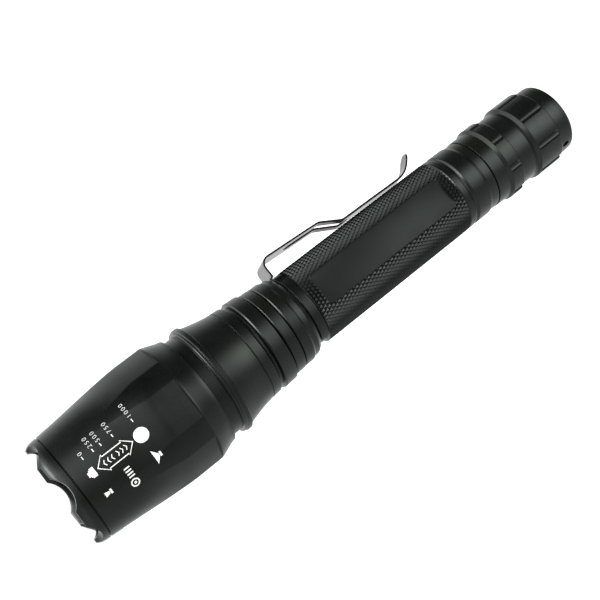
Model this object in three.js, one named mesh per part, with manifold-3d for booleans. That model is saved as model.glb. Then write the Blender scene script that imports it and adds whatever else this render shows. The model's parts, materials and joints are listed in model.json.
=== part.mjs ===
// Zoomable tactical flashlight, standing on its tail.
// Millimetres. The origin is the middle of the tail's flat end face, +Z runs up the
// tube's axis to the lens, and the pocket clip is on the +Y side.
import * as THREE from 'three';
import { mergeVertices } from 'three/addons/utils/BufferGeometryUtils.js';
import Module from 'manifold-3d';

const wasm = await Module();
wasm.setup();

// ---------------------------------------------------------------- driving sizes
const GAP = 0.3;                    // clearance between pieces that touch or slide
const FINE = 36;                    // sides of the large round shells
const COARSE = 20;                  // sides of the small round pieces

const CELL_RADIUS = 9.2;            // two 18650 cells, end to end
const CELL_LENGTH = 65.2;
const TUBE_BORE = 9.6;
const TUBE_RADIUS = 13.25;          // over the knurl
const CAP_RADIUS = 13.8;            // over the tail cap's grip rings
const HEAD_RADIUS = 20.76;          // over the zoom head

const THREAD_MALE = 11.15;          // the tube's two threaded ends
const THREAD_FEMALE = THREAD_MALE + GAP;
const SEAL_GROOVE = 10.3;           // bottom of the O-ring grooves on those ends

const TAIL_WALL = 2.2;              // end wall of the tail cap
const CAP_TOP = 35.45;              // open end of the tail cap
const TUBE_TAIL = 23.6;             // rear end of the tube, inside the tail cap
const SHOULDER = CAP_TOP + GAP;     // where the tube meets the tail cap
const KNURL = [49.4, 110.8];        // knurled stretch of the tube
const CLIP_SEAT = [111.1, 114.4];   // groove that the clip's band turns in
const CLIP_SEAT_RADIUS = 12.25;
const TUBE_FRONT = 125.2;           // front end of the tube, inside the neck

const NECK_REAR = CLIP_SEAT[1] + GAP;
const NECK_RADIUS = 17.5;           // smooth neck that the head slides on
const NECK_TOP = 169.5;
const PISTON_RADIUS = 18.1;         // front piece of the neck, with the sliding seals
const PISTON = [NECK_TOP + GAP, 180];
const PILL_SHANK = 13.2;            // its threaded shank inside the neck
const ZOOM_TRAVEL = 11;

const HEAD_REAR = 153.9;
const HEAD_TOP = 199.9;
const LENS_SEAT = 186.5;
const BEZEL_TOP = 204.5;
const HEAD_TURN = -4;               // the head's flats, from square with the clip

const SLOT_COUNT = 8;               // grip slots round each ring of the tail cap
const SLOT_RADIUS = 1.25;           // their round section
const SLOT_CENTRE = CAP_RADIUS + 0.4;
const SLOT_TURN = 14;
const TUBE_FLATS = { count: 3, distance: 11.97, from: 53, to: 107, turn: 1.6 };
const HEAD_FLATS = { count: 6, distance: 19.6, from: 160.5, to: 187 };
const SCALLOPS = { count: 6, radius: 8, centre: 210 };

const CLIP_STEEL = 0.55;
const CLIP_HALF_WIDTH = 6;

// ---------------------------------------------------------------- materials
const material = (color, roughness, metalness) =>
  new THREE.MeshStandardMaterial({ color, roughness, metalness });
const anodised = material(0x1a1b1c, 0.42, 0.85);
const steel = material(0x4a4c4f, 0.25, 1);
const aluminium = material(0xb9bbbd, 0.35, 1);
const brass = material(0xb8934a, 0.35, 1);
const rubber = material(0x0d0d0d, 0.85, 0);
const glass = material(0xe6eef2, 0.05, 0);
const blackPlastic = material(0x141414, 0.55, 0);
const whitePlastic = material(0xe9e7e0, 0.5, 0);
const circuitBoard = material(0x1f5a36, 0.5, 0.1);
const cellWrap = material(0x35639a, 0.4, 0);
const emitterYellow = material(0xe8d24a, 0.4, 0);

// ---------------------------------------------------------------- geometry helpers
const radians = (degrees) => degrees * Math.PI / 180;

// A closed triangle mesh with shared vertices, no flat triangles, and its faces pointing out.
function closedMesh(geometry) {
  const bare = geometry.clone();
  bare.deleteAttribute('normal');
  bare.deleteAttribute('uv');
  const merged = mergeVertices(bare, 1e-4);
  const source = merged.index.array;
  const triangles = [];
  for (let i = 0; i < source.length; i += 3) {
    const [a, b, c] = source.slice(i, i + 3);
    if (a !== b && b !== c && c !== a) triangles.push(a, b, c);
  }
  const points = merged.attributes.position.array;
  if (signedVolume(points, triangles) < 0) {
    for (let i = 0; i < triangles.length; i += 3) {
      [triangles[i + 1], triangles[i + 2]] = [triangles[i + 2], triangles[i + 1]];
    }
  }
  merged.setIndex(triangles);
  return merged;
}

function signedVolume(points, triangles) {
  const corner = (k) => new THREE.Vector3().fromArray(points, 3 * k);
  let volume = 0;
  for (let i = 0; i < triangles.length; i += 3) {
    const [a, b, c] = triangles.slice(i, i + 3).map(corner);
    volume += a.dot(b.cross(c)) / 6;
  }
  return volume;
}

function toSolid(geometry) {
  const mesh = closedMesh(geometry);
  return new wasm.Manifold(new wasm.Mesh({
    numProp: 3,
    vertProperties: new Float32Array(mesh.attributes.position.array),
    triVerts: new Uint32Array(mesh.index.array),
  }));
}

function toGeometry(solid) {
  const mesh = solid.getMesh();
  const geometry = new THREE.BufferGeometry();
  geometry.setAttribute('position', new THREE.BufferAttribute(mesh.vertProperties, 3));
  geometry.setIndex(new THREE.BufferAttribute(mesh.triVerts, 1));
  return geometry;
}

const cut = (body, tools) =>
  toGeometry(tools.reduce((left, tool) => left.subtract(toSolid(tool)), toSolid(body)));
const join = (pieces) =>
  toGeometry(pieces.map(toSolid).reduce((sum, piece) => sum.add(piece)));
const common = (a, b) => toGeometry(toSolid(a).intersect(toSolid(b)));

// A shape turned about Z from [radius, height] points. The outline closes on itself,
// unless it starts and ends on the axis.
function turned(outline, sides = COARSE) {
  const points = outline.map(([r, z]) => new THREE.Vector2(r, z));
  const onAxis = outline[0][0] === 0 && outline.at(-1)[0] === 0;
  if (!onAxis) points.push(points[0].clone());
  return closedMesh(new THREE.LatheGeometry(points, sides).rotateX(Math.PI / 2));
}

const disc = (radius, from, to, sides = COARSE) =>
  turned([[0, from], [radius, from], [radius, to], [0, to]], sides);
const sleeve = (outer, inner, from, to, sides = COARSE) =>
  turned([[inner, from], [outer, from], [outer, to], [inner, to]], sides);

// A ring with a six-sided section, close to round, for the O-rings and the gasket.
function sealRing(radius, height, thickness) {
  const section = [];
  for (let i = 0; i < 6; i += 1) {
    const turn = radians(60 * i + 30);
    section.push([
      radius + thickness / 2 * Math.cos(turn),
      height + thickness / 2 * Math.sin(turn),
    ]);
  }
  return turned(section);
}

const box = (x, y, z, width, depth, height) =>
  new THREE.BoxGeometry(width, depth, height).translate(x, y, z);

// Copies of a tool made at azimuth 0, set evenly round the axis.
const aroundAxis = (tool, count, firstAzimuth) =>
  Array.from({ length: count }, (_, i) =>
    tool.clone().rotateZ(radians(firstAzimuth + 360 * i / count)));

class Helix extends THREE.Curve {
  constructor(radius, endRadius, from, to, turns) {
    super();
    Object.assign(this, { radius, endRadius, from, to, turns });
  }

  getPoint(t, target = new THREE.Vector3()) {
    const turn = 2 * Math.PI * this.turns * t;
    const radius = THREE.MathUtils.lerp(this.radius, this.endRadius, t);
    const height = THREE.MathUtils.lerp(this.from, this.to, t);
    return target.set(radius * Math.cos(turn), radius * Math.sin(turn), height);
  }
}

// A coil of round wire between two heights; the wire stays inside them.
function coilSpring(radius, endRadius, wire, from, to, turns) {
  const path = new Helix(radius, endRadius, from + wire, to - wire, turns);
  const section = new THREE.Shape(
    Array.from({ length: 6 }, (_, i) => new THREE.Vector2(
      wire * Math.cos(radians(60 * i)),
      wire * Math.sin(radians(60 * i)),
    )),
  );
  return closedMesh(new THREE.ExtrudeGeometry(section, {
    steps: Math.round(turns * 11),
    extrudePath: path,
    bevelEnabled: false,
  }));
}

// ---------------------------------------------------------------- tail cap and switch
const BOARD = [12, 13];                         // switch board
const SPACER = [3.7, BOARD[0] - GAP];
const BUTTON_HOLE = 6.5;
const CAP_CAVITY = 9.3;
const SWITCH_BORE = 2.7;

function tailCap() {
  const ring = 12.73;
  const waist = 12.8;
  const body = turned([
    [BUTTON_HOLE, 0], [12.1, 0], [12.6, 0.5], [ring, 1.5], [ring, 6.3],
    [CAP_RADIUS, 6.6], [CAP_RADIUS, 16.3], [13, 17.5], [waist, 18.3], [waist, 24.4],
    [CAP_RADIUS, 24.8], [CAP_RADIUS, 29.5], [13, 30.6], [12.95, CAP_TOP],
    [THREAD_FEMALE, CAP_TOP], [THREAD_FEMALE, TUBE_TAIL - GAP],
    [CAP_CAVITY, TUBE_TAIL - GAP], [CAP_CAVITY, TAIL_WALL], [BUTTON_HOLE, TAIL_WALL],
  ], FINE);
  return cut(body, [
    ...aroundAxis(gripSlot(6, 17.2), SLOT_COUNT, SLOT_TURN),
    ...aroundAxis(gripSlot(24.2, 30.4), SLOT_COUNT, SLOT_TURN),
    lanyardHole(),
  ]);
}

// One groove with a round bottom, cut along a grip ring.
function gripSlot(start, end) {
  return new THREE.CylinderGeometry(SLOT_RADIUS, SLOT_RADIUS, end - start, 16)
    .rotateX(Math.PI / 2)
    .translate(SLOT_CENTRE, 0, (start + end) / 2);
}

// A slanting hole from the end ring's side out through the end face.
function lanyardHole() {
  const rim = { radius: 12.73, height: 3.7, azimuth: -64 };
  return new THREE.CylinderGeometry(1, 1, 11, 12)
    .rotateZ(radians(-45))
    .rotateX(Math.PI / 2)
    .translate(rim.radius - 1.9, 0, rim.height - 1.9)
    .rotateZ(radians(rim.azimuth));
}

// Rubber cup: its flange is held inside the end wall, its dome stands in the button hole.
function switchBoot() {
  const flange = [TAIL_WALL + GAP, TAIL_WALL + GAP + 0.9];
  return turned([
    [0, 0.9], [3.6, 1], [5.4, 1.4], [6.1, 2.1], [6.1, flange[0]], [8.7, flange[0]],
    [8.7, flange[1]], [5.2, flange[1]], [4.9, 2.3], [3.4, 1.95], [0, 1.9],
  ]);
}

function switchHousing() {
  const body = box(0, 0, (6.6 + BOARD[0] - GAP) / 2, 8, 8, BOARD[0] - GAP - 6.6);
  return cut(body, [disc(SWITCH_BORE, 6, 11)]);
}

function switchButton() {
  return turned([
    [0, 2.3], [1.6, 2.3], [1.9, 2.7], [1.9, 5.4], [2.3, 5.7], [2.3, 8.4],
    [1.4, 8.4], [1.4, 6.6], [0, 6.6],
  ]);
}

// ---------------------------------------------------------------- battery tube
function batteryTube() {
  const rearGroove = [32.2, 34];
  const frontGroove = [NECK_REAR + 1, NECK_REAR + 2.8];
  const collar = 13.15;
  const body = turned([
    [TUBE_BORE, TUBE_TAIL], [THREAD_MALE, TUBE_TAIL],
    [THREAD_MALE, rearGroove[0]], [SEAL_GROOVE, rearGroove[0]],
    [SEAL_GROOVE, rearGroove[1]], [THREAD_MALE, rearGroove[1]],
    [THREAD_MALE, SHOULDER], [12.75, SHOULDER], [12.8, 38.7], [collar, 39.9],
    [collar, 45.2], [12.6, 45.7], [12.6, 46.4], [collar, 46.9], [collar, 49],
    [TUBE_RADIUS, KNURL[0]], [TUBE_RADIUS, KNURL[1]],
    [CLIP_SEAT_RADIUS, CLIP_SEAT[0]], [CLIP_SEAT_RADIUS, CLIP_SEAT[1]],
    [THREAD_MALE, CLIP_SEAT[1]],
    [THREAD_MALE, frontGroove[0]], [SEAL_GROOVE, frontGroove[0]],
    [SEAL_GROOVE, frontGroove[1]], [THREAD_MALE, frontGroove[1]],
    [THREAD_MALE, TUBE_FRONT], [TUBE_BORE, TUBE_FRONT],
  ], FINE);
  const { count, distance, from, to, turn } = TUBE_FLATS;
  const flat = box(distance + 2, 0, (from + to) / 2, 4, 16, to - from);
  return cut(body, aroundAxis(flat, count, turn));
}

// ---------------------------------------------------------------- neck and light engine
const CELL_TAIL = 22.6;
const CELL_STEP = CELL_LENGTH + GAP;
const CELL_TOP = CELL_TAIL + CELL_STEP + CELL_LENGTH;
const DRIVER = [159.3, 160.5];
const PILL_REAR = 158.3;
const PILL_WEB = [174, 177.6];
const LED_BOARD = [PILL_WEB[1] + GAP, PILL_WEB[1] + GAP + 1.6];
const WIRE_RADIUS = 0.5;
const WIRE_PLACE = 8.3;

function heatsinkNeck() {
  const flange = 19.05;
  return turned([
    [THREAD_FEMALE, NECK_REAR], [13.2, NECK_REAR], [14.25, 116.2], [14.35, 118],
    [14.8, 118.8], [14.82, 121.8], [13.5, 122], [13.5, 122.4], [15.05, 122.7],
    [15.1, 125.9], [13.7, 126.2], [13.7, 126.6], [15.8, 126.9], [16.05, 131.2],
    [14.5, 131.9], [14.5, 132.4], [15.9, 133.3], [16.1, 136.4], [16.6, 140],
    [17.4, 144], [18.3, 147.1], [flange, 147.4], [flange, 149.1], [18.6, 149.8],
    [NECK_RADIUS, 150.1], [NECK_RADIUS, NECK_TOP],
    [PILL_SHANK + GAP, NECK_TOP], [PILL_SHANK + GAP, PILL_REAR - GAP],
    [TUBE_BORE + 0.1, PILL_REAR - GAP], [TUBE_BORE + 0.1, TUBE_FRONT + 1],
    [THREAD_FEMALE, TUBE_FRONT + 1],
  ], FINE);
}

// Threaded into the neck's front end; its wide part is the piston that the head slides on.
function ledPill() {
  const grooves = [171.6, 176.2];
  const [rear, front] = PISTON;
  const outline = [[11, PILL_REAR], [PILL_SHANK, PILL_REAR], [PILL_SHANK, rear]];
  outline.push([PISTON_RADIUS, rear]);
  for (const groove of grooves) {
    outline.push([PISTON_RADIUS, groove], [16.9, groove]);
    outline.push([16.9, groove + 1.9], [PISTON_RADIUS, groove + 1.9]);
  }
  outline.push([PISTON_RADIUS, front], [PILL_SHANK + GAP, front]);
  outline.push([PILL_SHANK + GAP, PILL_WEB[1]], [0, PILL_WEB[1]]);
  outline.push([0, PILL_WEB[0]], [11, PILL_WEB[0]]);
  const body = closedMesh(new THREE.LatheGeometry(
    [...outline, outline[0]].map(([r, z]) => new THREE.Vector2(r, z)), FINE,
  ).rotateX(Math.PI / 2));
  return cut(body, wireHoles());
}

const wireHoles = () => [-WIRE_PLACE, WIRE_PLACE].map((x) =>
  disc(WIRE_RADIUS + 0.4, PILL_WEB[0] - 1, LED_BOARD[1] + 1, 8).translate(x, 0, 0));

function ledBoard() {
  return cut(disc(PILL_SHANK - 0.2, LED_BOARD[0], LED_BOARD[1]), wireHoles());
}

function ledEmitter() {
  const base = LED_BOARD[1] + GAP;
  const chip = box(0, 0, base + 0.4, 5, 5, 0.8);
  const dome = turned([
    [0, base + 0.5], [2, base + 0.5], [2, base + 1], [1.7, base + 1.7],
    [1, base + 2.2], [0, base + 2.4],
  ]);
  return join([chip, dome]);
}

function ledCollar() {
  const base = LED_BOARD[1] + GAP;
  return turned([
    [4.2, base], [PILL_SHANK - 0.2, base], [PILL_SHANK - 0.2, base + 1.8],
    [7, base + 1.8], [4.2, base + 0.8],
  ]);
}

function driverBoard() {
  const [rear, front] = DRIVER;
  const coil = disc(2.6, front - 0.2, front + 3.2, 16).translate(0, 4.6, 0);
  const chip = box(1.5, -3.5, front + 0.6, 5, 4, 1.6);
  return join([disc(10.7, rear, front), coil, chip]);
}

function ledWire(side) {
  return disc(WIRE_RADIUS, DRIVER[1] + GAP, LED_BOARD[1] + 0.1, 8)
    .translate(side * WIRE_PLACE, 0, 0);
}

function cell() {
  return turned([
    [0, 0], [CELL_RADIUS - 0.5, 0], [CELL_RADIUS, 0.5],
    [CELL_RADIUS, CELL_LENGTH - 1.8], [CELL_RADIUS - 0.6, CELL_LENGTH - 1.2],
    [3, CELL_LENGTH - 1.2], [2.7, CELL_LENGTH], [0, CELL_LENGTH],
  ]);
}

// ---------------------------------------------------------------- zoom head
function zoomHead() {
  const lip = NECK_RADIUS + GAP;
  const bore = PISTON_RADIUS + GAP;
  const lipTop = PISTON[0] - ZOOM_TRAVEL - 0.1;
  const stop = PISTON[1] + GAP;
  const body = turned([
    [lip, HEAD_REAR], [18.7, HEAD_REAR], [18.9, 155], [19.8, 157.3], [20.6, 159.2],
    [HEAD_RADIUS, 160.2], [HEAD_RADIUS, 171], [20.15, 178.5], [19.06, 189.8],
    [18.12, HEAD_TOP], [17.1, HEAD_TOP], [17.1, LENS_SEAT], [15.4, LENS_SEAT],
    [15.4, stop], [bore, stop], [bore, lipTop], [lip, lipTop],
  ], FINE);
  const { count, distance, from, to } = HEAD_FLATS;
  const flat = box(distance + 2, 0, (from + to) / 2, 4, 20, to - from);
  return cut(body, aroundAxis(flat, count, HEAD_TURN));
}

function lens() {
  const seat = LENS_SEAT + GAP;
  const outline = [[0, seat], [16.8, seat], [16.8, seat + 1.8], [15, seat + 1.8]];
  const apex = 200.2;
  const steps = 7;
  for (let i = 1; i <= steps; i += 1) {
    const turn = radians(90 * i / steps);
    outline.push([
      i === steps ? 0 : 15 * Math.cos(turn),
      seat + 1.8 + (apex - seat - 1.8) * Math.sin(turn),
    ]);
  }
  return turned(outline, FINE);
}

function bezelRing() {
  const body = turned([
    [15.3, 190.9], [16.8, 190.9], [16.8, HEAD_TOP + GAP], [18.1, HEAD_TOP + GAP],
    [18.05, 201.6], [17.6, 203.3], [16.9, BEZEL_TOP], [15.9, BEZEL_TOP], [15.3, 202.5],
  ], FINE);
  const { count, radius, centre } = SCALLOPS;
  const scallop = new THREE.CylinderGeometry(radius, radius, 8, 24)
    .rotateZ(Math.PI / 2)
    .translate(17, 0, centre);
  return cut(body, aroundAxis(scallop, count, HEAD_TURN));
}

// ---------------------------------------------------------------- pocket clip
function clipBand() {
  const half = (CLIP_SEAT[1] - CLIP_SEAT[0]) / 2 - 0.15;
  const middle = (CLIP_SEAT[0] + CLIP_SEAT[1]) / 2;
  return sleeve(13.15, CLIP_SEAT_RADIUS + GAP, middle - half, middle + half, FINE);
}

// Side view of the blade's middle line as [y, z], from its root to its tip.
function clipMiddleLine() {
  const radius = 2.2;
  const root = [[13.5, 113.5], [17, 113.2]];
  const bend = [];
  for (let i = 1; i <= 4; i += 1) {
    const turn = radians(90 * i / 4);
    bend.push([17 + radius * Math.sin(turn), 111 + radius * Math.cos(turn)]);
  }
  const run = [[17.9, 92.6], [17.2, 90], [14.4, 84], [13.95, 82.2]];
  const flare = [[13.85, 61], [14, 59.3], [14.7, 54.6], [15.7, 53], [17.3, 51.7], [19.3, 50.8]];
  return [...root, ...bend, ...run, ...flare];
}

// The blade is its side outline, as thick as the steel, cut to its outline seen from +Y.
function clipBlade() {
  const line = clipMiddleLine().map(([y, z]) => new THREE.Vector2(y, z));
  const outer = [];
  const inner = [];
  line.forEach((point, i) => {
    const before = line[Math.max(i - 1, 0)];
    const after = line[Math.min(i + 1, line.length - 1)];
    const along = after.clone().sub(before).normalize();
    const across = new THREE.Vector2(-along.y, along.x).multiplyScalar(CLIP_STEEL / 2);
    outer.push(point.clone().sub(across));
    inner.push(point.clone().add(across));
  });
  const side = new THREE.ExtrudeGeometry(new THREE.Shape([...outer, ...inner.reverse()]), {
    depth: 2 * CLIP_HALF_WIDTH, bevelEnabled: false,
  });
  // shape (y, z) pulled along x
  side.applyMatrix4(new THREE.Matrix4().set(
    0, 0, 1, -CLIP_HALF_WIDTH,
    1, 0, 0, 0,
    0, 1, 0, 0,
    0, 0, 0, 1,
  ));
  return common(side, clipPlan());
}

// Seen from +Y, as [x, z]: wide at the root, tapered to a round tab, with a long slot.
function clipPlan() {
  const plan = new THREE.Shape();
  plan.moveTo(-CLIP_HALF_WIDTH, 115);
  plan.lineTo(-CLIP_HALF_WIDTH, 94);
  plan.lineTo(-3.6, 62);
  plan.lineTo(-3.6, 52.2);
  plan.absellipse(0, 52.2, 3.6, 1.5, Math.PI, 2 * Math.PI, false);
  plan.lineTo(3.6, 62);
  plan.lineTo(CLIP_HALF_WIDTH, 94);
  plan.lineTo(CLIP_HALF_WIDTH, 115);
  const slot = new THREE.Path();
  slot.absarc(0, 102, 2.4, 0, Math.PI, false);
  slot.absarc(0, 82, 1.8, Math.PI, 2 * Math.PI, false);
  plan.holes.push(slot);
  const sheet = new THREE.ExtrudeGeometry(plan, {
    depth: 12, bevelEnabled: false, curveSegments: 6,
  });
  return sheet.applyMatrix4(new THREE.Matrix4().set(
    1, 0, 0, 0,
    0, 0, 1, 10,
    0, 1, 0, 0,
    0, 0, 0, 1,
  ));
}

// ---------------------------------------------------------------- the assembly
const flashlight = new THREE.Group();

function part(name, geometry, look, height = 0) {
  const mesh = new THREE.Mesh(geometry, look);
  mesh.name = name;
  mesh.position.z = height;
  flashlight.add(mesh);
}

part('tail_cap', tailCap(), anodised);
part('switch_boot', switchBoot(), rubber);
part('switch_spacer', sleeve(8.8, 7.1, SPACER[0], SPACER[1]), blackPlastic);
part('switch_housing', switchHousing(), blackPlastic);
part('switch_button', switchButton(), whitePlastic);
part('switch_spring', coilSpring(1, 1, 0.18, 6.8, 10.8, 5), steel);
part('switch_board', disc(8.9, BOARD[0], BOARD[1]), circuitBoard);
part('switch_retaining_ring', sleeve(9, 6, BOARD[1] + GAP, 15.6), brass);
part('tail_spring', coilSpring(5, 3, 0.45, BOARD[1] + GAP, CELL_TAIL - GAP, 4), steel);

part('cell_rear', cell(), cellWrap, CELL_TAIL);
part('cell_front', cell(), cellWrap, CELL_TAIL + CELL_STEP);

part('battery_tube', batteryTube(), anodised);
part('tube_rear_seal', sealRing(10.93, 33.1, 0.7), rubber);
part('tube_front_seal', sealRing(10.93, NECK_REAR + 1.9, 0.7), rubber);
part('heatsink_neck', heatsinkNeck(), anodised);
part('led_pill', ledPill(), aluminium);
part('slide_seal_rear', sealRing(17.65, 172.55, 1), rubber);
part('slide_seal_front', sealRing(17.65, 177.15, 1), rubber);
part('driver_board', driverBoard(), circuitBoard);
part('driver_spring', coilSpring(2.4, 4, 0.4, CELL_TOP + GAP, DRIVER[0] - GAP, 3), brass);
part('led_wire_plus', ledWire(1), rubber);
part('led_wire_minus', ledWire(-1), rubber);
part('led_board', ledBoard(), aluminium);
part('led_emitter', ledEmitter(), emitterYellow);
part('led_collar', ledCollar(), whitePlastic);

part('zoom_head', zoomHead(), anodised);
part('lens', lens(), glass);
part('lens_gasket', sealRing(16.15, 189.85, 1.3), rubber);
part('bezel_ring', bezelRing(), anodised);

part('clip_band', clipBand(), steel);
part('clip_blade', clipBlade(), steel);

export default flashlight;
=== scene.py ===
"""Looks of the zoomable flashlight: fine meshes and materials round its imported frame."""
import json
import math

import bmesh
import bpy
import numpy as np
from mathutils import Matrix, Vector


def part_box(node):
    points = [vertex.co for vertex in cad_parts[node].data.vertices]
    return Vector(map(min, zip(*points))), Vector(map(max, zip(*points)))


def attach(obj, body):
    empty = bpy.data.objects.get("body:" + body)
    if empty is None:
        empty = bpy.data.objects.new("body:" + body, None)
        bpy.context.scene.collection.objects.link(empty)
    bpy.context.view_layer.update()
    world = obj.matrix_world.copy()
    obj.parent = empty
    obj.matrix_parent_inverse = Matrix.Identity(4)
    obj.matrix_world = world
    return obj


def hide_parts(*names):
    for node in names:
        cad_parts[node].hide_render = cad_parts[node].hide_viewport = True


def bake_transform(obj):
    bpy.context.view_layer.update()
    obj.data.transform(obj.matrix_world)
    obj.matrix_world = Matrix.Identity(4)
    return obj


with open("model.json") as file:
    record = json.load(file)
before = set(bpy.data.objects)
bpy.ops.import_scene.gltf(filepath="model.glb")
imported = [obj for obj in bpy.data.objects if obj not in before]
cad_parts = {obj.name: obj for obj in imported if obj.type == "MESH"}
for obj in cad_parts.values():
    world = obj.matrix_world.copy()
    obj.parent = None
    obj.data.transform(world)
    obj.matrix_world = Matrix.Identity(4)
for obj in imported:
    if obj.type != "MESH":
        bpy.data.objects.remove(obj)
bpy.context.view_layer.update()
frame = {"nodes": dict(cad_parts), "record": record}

# ---------- sizes, in millimetres
MM = 0.001
FINE = 0.15                     # radius of a broken edge on the machined pieces
SUPPORT = 0.1                   # distance from an edge's arc to the ring that holds the flat


def low(node):
    """Lowest height of a CAD node."""
    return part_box(node)[0].z / MM


def high(node):
    """Highest height of a CAD node."""
    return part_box(node)[1].z / MM


def reach(node):
    """Largest radius of a round CAD node."""
    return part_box(node)[1].x / MM


CAP_TOP = high("tail_cap")
CAP_RADIUS = reach("tail_cap")
CAP_BORE = 11.45                # the cap's female thread, and the neck's
END_RING = 12.73                # the cap's plain ring next to its end face
TUBE_RADIUS = reach("battery_tube")
TUBE_TAIL = low("battery_tube")
NECK_REAR = low("heatsink_neck")
NECK_TOP = high("heatsink_neck")
HEAD_REAR = low("zoom_head")
HEAD_TOP = high("zoom_head")
HEAD_RADIUS = reach("zoom_head")
BEZEL_TOP = high("bezel_ring")
LENS_BASE = low("lens")
LENS_TOP = high("lens")

VIEW_AZIMUTH = -4               # the side that faces the camera, in degrees round the axis
SLOTS = {"count": 8, "turn": 14, "radius": 1.25, "centre": 0.4, "spans": ((6, 16.1), (24, 29.3))}
LANYARD = {"turn": -64, "height": 3.7, "radius": 1.0, "half_length": 5.6, "inset": 1.9}
TUBE_FLATS = {"count": 3, "turn": 1.6, "distance": 11.97, "half": 5.7, "from": 52.5, "to": 107}
TUBE_BORE = 9.6
THREAD_RADIUS = 11.15           # the tube's two male threads
KNURL = {"from": 49.4, "to": 110.8, "starts": 58, "period": 2.5, "depth": 0.5}
HEAD_FLATS = {"count": 6, "from": 160.5, "half": 19.2, "wide": 28.0, "fade": 171, "gone": 191}
FLAT_BULGE = 0.42               # how far a flat's middle stands out from a true plane
SCALLOPS = {"count": 6, "radius": 8.0, "centre": 210.0}


# ---------- outlines
def softened(outline, radius=FINE):
    """A closed outline of [r, z] or [r, z, corner radius] points with its corners rounded."""
    points = [Vector(p[:2]) for p in outline]
    result = []
    for i, corner in enumerate(points):
        before = points[i - 1] - corner
        after = points[(i + 1) % len(points)] - corner
        turn = math.pi - before.angle(after)
        if turn < math.radians(9):
            result.append(corner)
            continue
        wanted = outline[i][2] if len(outline[i]) > 2 else radius
        length = min(wanted * math.tan(turn / 2), 0.4 * before.length, 0.4 * after.length)
        support = min(SUPPORT, 0.05 * before.length, 0.05 * after.length)
        start = corner + before.normalized() * length
        end = corner + after.normalized() * length
        result.append(start + before.normalized() * support)
        steps = 2 if turn < math.radians(30) else 4
        for k in range(steps + 1):
            t = k / steps
            result.append(start * (1 - t) ** 2 + corner * (2 * t * (1 - t)) + end * t ** 2)
        result.append(end + after.normalized() * support)
    return [(p.x, p.y) for p in result]


def curved(points, steps=6):
    """A smooth line through [r, z] points."""
    points = [Vector(p) for p in points]
    padded = [2 * points[0] - points[1], *points, 2 * points[-1] - points[-2]]
    line = []
    for a, b, c, d in zip(padded, padded[1:], padded[2:], padded[3:]):
        for k in range(steps):
            t = k / steps
            line.append(0.5 * (2 * b + (c - a) * t + (2 * a - 5 * b + 4 * c - d) * t ** 2
                               + (3 * b - a - 3 * c + d) * t ** 3))
    return [tuple(p) for p in line] + [tuple(points[-1])]


def polar(r, angle, z):
    return r * math.cos(angle), r * math.sin(angle), z


def circle(radius, x=0.0, y=0.0, count=48):
    angles = np.linspace(0, 2 * math.pi, count, endpoint=False)
    return [(x + radius * math.cos(a), y + radius * math.sin(a)) for a in angles]


# ---------- meshes
def linked(name, data):
    """An object in the scene that shows the data."""
    piece = bpy.data.objects.new(name, data)
    bpy.context.collection.objects.link(piece)
    return piece


def new_object(name, vertices, faces):
    """An object from corners in millimetres."""
    mesh = bpy.data.meshes.new(name)
    mesh.from_pydata([tuple(c * MM for c in v) for v in vertices], [], faces)
    return linked(name, mesh)


def cleaned(piece, sharp=38):
    """Joins doubled corners, points the faces out and shades smooth between sharp edges."""
    mesh = piece.data
    work = bmesh.new()
    work.from_mesh(mesh)
    bmesh.ops.remove_doubles(work, verts=work.verts, dist=0.002 * MM)
    bmesh.ops.dissolve_degenerate(work, edges=work.edges, dist=0.001 * MM)
    bmesh.ops.recalc_face_normals(work, faces=work.faces)
    work.to_mesh(mesh)
    work.free()
    mesh.shade_smooth()
    mesh.set_sharp_from_angle(angle=math.radians(sharp))
    return piece


def skin(name, grid, sharp=38):
    """A closed skin through grid[row][column] corners: both directions wrap round."""
    grid = np.asarray(grid)
    rows, columns = grid.shape[:2]
    index = np.arange(rows * columns).reshape(rows, columns)
    right = np.roll(index, -1, axis=1)
    above = np.roll(index, -1, axis=0)
    corner = np.roll(right, -1, axis=0)
    faces = np.stack([index, right, corner, above], axis=-1).reshape(-1, 4)
    return cleaned(new_object(name, grid.reshape(-1, 3).tolist(), faces.tolist()), sharp)


def turned(name, outline, sides=160, sharp=38):
    """A shape turned about the axis from a closed outline of (r, z)."""
    angles = np.linspace(0, 2 * math.pi, sides, endpoint=False)
    return skin(name, [[polar(r, a, z) for a in angles] for r, z in outline], sharp)


def baked(piece):
    """Applies the piece's modifiers to its mesh."""
    graph = bpy.context.evaluated_depsgraph_get()
    mesh = bpy.data.meshes.new_from_object(piece.evaluated_get(graph))
    piece.modifiers.clear()
    piece.data = mesh
    return piece


def carved(piece, cutter):
    """Cuts one closed piece with another, and removes the cutter."""
    step = piece.modifiers.new("cut", "BOOLEAN")
    step.operation = "DIFFERENCE"
    step.solver = "EXACT"
    step.object = cutter
    baked(piece)
    bpy.data.objects.remove(cutter)
    return piece


def prism(name, outline, start, end):
    """A closed prism: an outline of (x, y) pulled along z."""
    count = len(outline)
    vertices = [(x, y, z) for z in (start, end) for x, y in outline]
    faces = [list(range(count))[::-1], list(range(count, 2 * count))]
    for i in range(count):
        j = (i + 1) % count
        faces.append([i, j, count + j, count + i])
    return new_object(name, vertices, faces)


def joined(name, pieces):
    """One object holding the pieces' meshes."""
    mesh = bpy.data.meshes.new(name)
    work = bmesh.new()
    for piece in pieces:
        copy = piece.data.copy()
        copy.transform(piece.matrix_world)
        work.from_mesh(copy)
        bpy.data.objects.remove(piece)
    work.to_mesh(mesh)
    work.free()
    return linked(name, mesh)


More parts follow.
